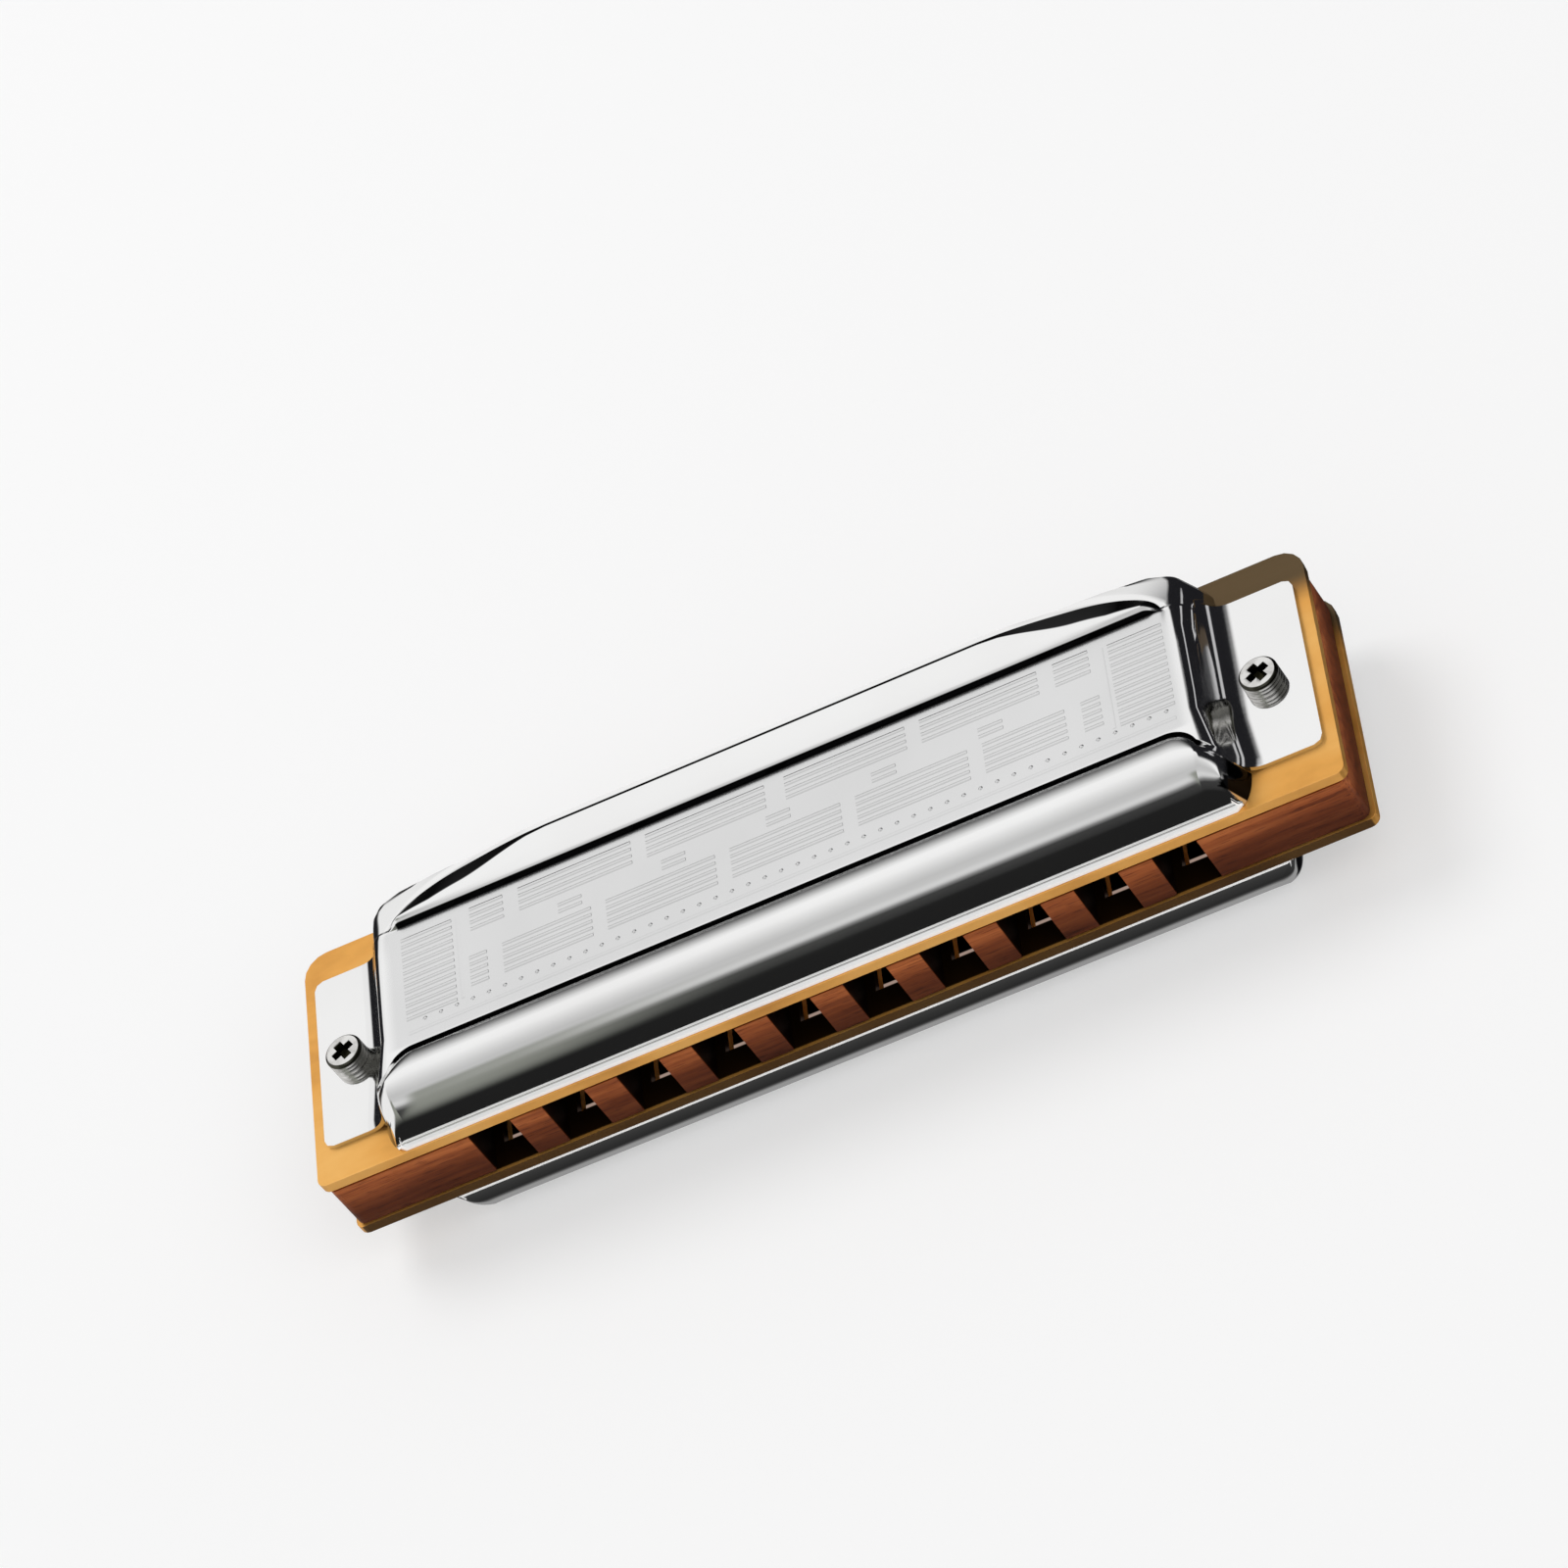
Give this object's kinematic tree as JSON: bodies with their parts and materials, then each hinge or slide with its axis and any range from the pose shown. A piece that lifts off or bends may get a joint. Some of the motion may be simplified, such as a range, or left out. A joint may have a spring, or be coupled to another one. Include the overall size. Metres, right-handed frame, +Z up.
{
  "type": "diatonic harmonica",
  "caption": "Small mouth organ: a wooden comb between two brass reed plates with riveted spring reeds, under two pressed steel covers bolted at the ends.",
  "frame": {"origin": "bottom centre of the bounding box, on the lower cover's resting plane", "axes": "+X along the instrument from the low notes to the high notes, -Y out of the mouth holes, +Z up"},
  "size_m": [0.101, 0.027, 0.0188],
  "materials": {
    "comb_wood": "red-brown, satin",
    "plate_brass": "rolled sheet, satin",
    "reed_brass": "fine milled",
    "rivet_brass": "pressed",
    "cover_steel": "polished sheet",
    "bolt_steel": "bright turned"
  },
  "bodies": {
    "instrument": {"comb": "comb_wood", "cover_bolt_left": "bolt_steel", "cover_bolt_right": "bolt_steel", "cover_nut_left": "bolt_steel", "cover_nut_right": "bolt_steel", "lower_cover": "cover_steel", "lower_reed_plate": "plate_brass", "plate_screw_lower_1": "bolt_steel", "plate_screw_lower_2": "bolt_steel", "plate_screw_lower_3": "bolt_steel", "plate_screw_lower_4": "bolt_steel", "plate_screw_lower_5": "bolt_steel", "plate_screw_upper_1": "bolt_steel", "plate_screw_upper_2": "bolt_steel", "plate_screw_upper_3": "bolt_steel", "plate_screw_upper_4": "bolt_steel", "plate_screw_upper_5": "bolt_steel", "rivet_blow_01": "rivet_brass", "rivet_blow_02": "rivet_brass", "rivet_blow_03": "rivet_brass", "rivet_blow_04": "rivet_brass", "rivet_blow_05": "rivet_brass", "rivet_blow_06": "rivet_brass", "rivet_blow_07": "rivet_brass", "rivet_blow_08": "rivet_brass", "rivet_blow_09": "rivet_brass", "rivet_blow_10": "rivet_brass", "rivet_draw_01": "rivet_brass", "rivet_draw_02": "rivet_brass", "rivet_draw_03": "rivet_brass", "rivet_draw_04": "rivet_brass", "rivet_draw_05": "rivet_brass", "rivet_draw_06": "rivet_brass", "rivet_draw_07": "rivet_brass", "rivet_draw_08": "rivet_brass", "rivet_draw_09": "rivet_brass", "rivet_draw_10": "rivet_brass", "upper_cover": "cover_steel", "upper_reed_plate": "plate_brass"},
    "reed_blow_01_body": {"reed_blow_01": "reed_brass"},
    "reed_blow_02_body": {"reed_blow_02": "reed_brass"},
    "reed_blow_03_body": {"reed_blow_03": "reed_brass"},
    "reed_blow_04_body": {"reed_blow_04": "reed_brass"},
    "reed_blow_05_body": {"reed_blow_05": "reed_brass"},
    "reed_blow_06_body": {"reed_blow_06": "reed_brass"},
    "reed_blow_07_body": {"reed_blow_07": "reed_brass"},
    "reed_blow_08_body": {"reed_blow_08": "reed_brass"},
    "reed_blow_09_body": {"reed_blow_09": "reed_brass"},
    "reed_blow_10_body": {"reed_blow_10": "reed_brass"},
    "reed_draw_01_body": {"reed_draw_01": "reed_brass"},
    "reed_draw_02_body": {"reed_draw_02": "reed_brass"},
    "reed_draw_03_body": {"reed_draw_03": "reed_brass"},
    "reed_draw_04_body": {"reed_draw_04": "reed_brass"},
    "reed_draw_05_body": {"reed_draw_05": "reed_brass"},
    "reed_draw_06_body": {"reed_draw_06": "reed_brass"},
    "reed_draw_07_body": {"reed_draw_07": "reed_brass"},
    "reed_draw_08_body": {"reed_draw_08": "reed_brass"},
    "reed_draw_09_body": {"reed_draw_09": "reed_brass"},
    "reed_draw_10_body": {"reed_draw_10": "reed_brass"}
  },
  "joints": [
    {"name": "bend_blow_01", "type": "hinge", "parent": "instrument", "child": "reed_blow_01_body", "pos_m": [-0.03375, -0.0091, 0.01195], "axis": [1, 0, 0], "range_deg": [-3, 3], "stiffness_Nm_per_rad": 0.001},
    {"name": "bend_blow_02", "type": "hinge", "parent": "instrument", "child": "reed_blow_02_body", "pos_m": [-0.02625, -0.0091, 0.01195], "axis": [1, 0, 0], "range_deg": [-3, 3], "stiffness_Nm_per_rad": 0.001},
    {"name": "bend_blow_03", "type": "hinge", "parent": "instrument", "child": "reed_blow_03_body", "pos_m": [-0.01875, -0.0091, 0.01195], "axis": [1, 0, 0], "range_deg": [-3, 3], "stiffness_Nm_per_rad": 0.001},
    {"name": "bend_blow_04", "type": "hinge", "parent": "instrument", "child": "reed_blow_04_body", "pos_m": [-0.01125, -0.0091, 0.01195], "axis": [1, 0, 0], "range_deg": [-3, 3], "stiffness_Nm_per_rad": 0.001},
    {"name": "bend_blow_05", "type": "hinge", "parent": "instrument", "child": "reed_blow_05_body", "pos_m": [-0.00375, -0.0091, 0.01195], "axis": [1, 0, 0], "range_deg": [-3, 3], "stiffness_Nm_per_rad": 0.001},
    {"name": "bend_blow_06", "type": "hinge", "parent": "instrument", "child": "reed_blow_06_body", "pos_m": [0.00375, -0.0091, 0.01195], "axis": [1, 0, 0], "range_deg": [-3, 3], "stiffness_Nm_per_rad": 0.001},
    {"name": "bend_blow_07", "type": "hinge", "parent": "instrument", "child": "reed_blow_07_body", "pos_m": [0.01125, -0.0091, 0.01195], "axis": [1, 0, 0], "range_deg": [-3, 3], "stiffness_Nm_per_rad": 0.001},
    {"name": "bend_blow_08", "type": "hinge", "parent": "instrument", "child": "reed_blow_08_body", "pos_m": [0.01875, -0.0091, 0.01195], "axis": [1, 0, 0], "range_deg": [-3, 3], "stiffness_Nm_per_rad": 0.001},
    {"name": "bend_blow_09", "type": "hinge", "parent": "instrument", "child": "reed_blow_09_body", "pos_m": [0.02625, -0.0091, 0.01195], "axis": [1, 0, 0], "range_deg": [-3, 3], "stiffness_Nm_per_rad": 0.001},
    {"name": "bend_blow_10", "type": "hinge", "parent": "instrument", "child": "reed_blow_10_body", "pos_m": [0.03375, -0.0091, 0.01195], "axis": [1, 0, 0], "range_deg": [-3, 3], "stiffness_Nm_per_rad": 0.001},
    {"name": "bend_draw_01", "type": "hinge", "parent": "instrument", "child": "reed_draw_01_body", "pos_m": [-0.03375, 0.0055, 0.00495], "axis": [-1, 0, 0], "range_deg": [-3, 3], "stiffness_Nm_per_rad": 0.001},
    {"name": "bend_draw_02", "type": "hinge", "parent": "instrument", "child": "reed_draw_02_body", "pos_m": [-0.02625, 0.00478, 0.00495], "axis": [-1, 0, 0], "range_deg": [-3, 3], "stiffness_Nm_per_rad": 0.001},
    {"name": "bend_draw_03", "type": "hinge", "parent": "instrument", "child": "reed_draw_03_body", "pos_m": [-0.01875, 0.00406, 0.00495], "axis": [-1, 0, 0], "range_deg": [-3, 3], "stiffness_Nm_per_rad": 0.001},
    {"name": "bend_draw_04", "type": "hinge", "parent": "instrument", "child": "reed_draw_04_body", "pos_m": [-0.01125, 0.00333, 0.00495], "axis": [-1, 0, 0], "range_deg": [-3, 3], "stiffness_Nm_per_rad": 0.001},
    {"name": "bend_draw_05", "type": "hinge", "parent": "instrument", "child": "reed_draw_05_body", "pos_m": [-0.00375, 0.00261, 0.00495], "axis": [-1, 0, 0], "range_deg": [-3, 3], "stiffness_Nm_per_rad": 0.001},
    {"name": "bend_draw_06", "type": "hinge", "parent": "instrument", "child": "reed_draw_06_body", "pos_m": [0.00375, 0.00189, 0.00495], "axis": [-1, 0, 0], "range_deg": [-3, 3], "stiffness_Nm_per_rad": 0.001},
    {"name": "bend_draw_07", "type": "hinge", "parent": "instrument", "child": "reed_draw_07_body", "pos_m": [0.01125, 0.00117, 0.00495], "axis": [-1, 0, 0], "range_deg": [-3, 3], "stiffness_Nm_per_rad": 0.001},
    {"name": "bend_draw_08", "type": "hinge", "parent": "instrument", "child": "reed_draw_08_body", "pos_m": [0.01875, 0.00044, 0.00495], "axis": [-1, 0, 0], "range_deg": [-3, 3], "stiffness_Nm_per_rad": 0.001},
    {"name": "bend_draw_09", "type": "hinge", "parent": "instrument", "child": "reed_draw_09_body", "pos_m": [0.02625, -0.00028, 0.00495], "axis": [-1, 0, 0], "range_deg": [-3, 3], "stiffness_Nm_per_rad": 0.001},
    {"name": "bend_draw_10", "type": "hinge", "parent": "instrument", "child": "reed_draw_10_body", "pos_m": [0.03375, -0.001, 0.00495], "axis": [-1, 0, 0], "range_deg": [-3, 3], "stiffness_Nm_per_rad": 0.001}
  ]
}
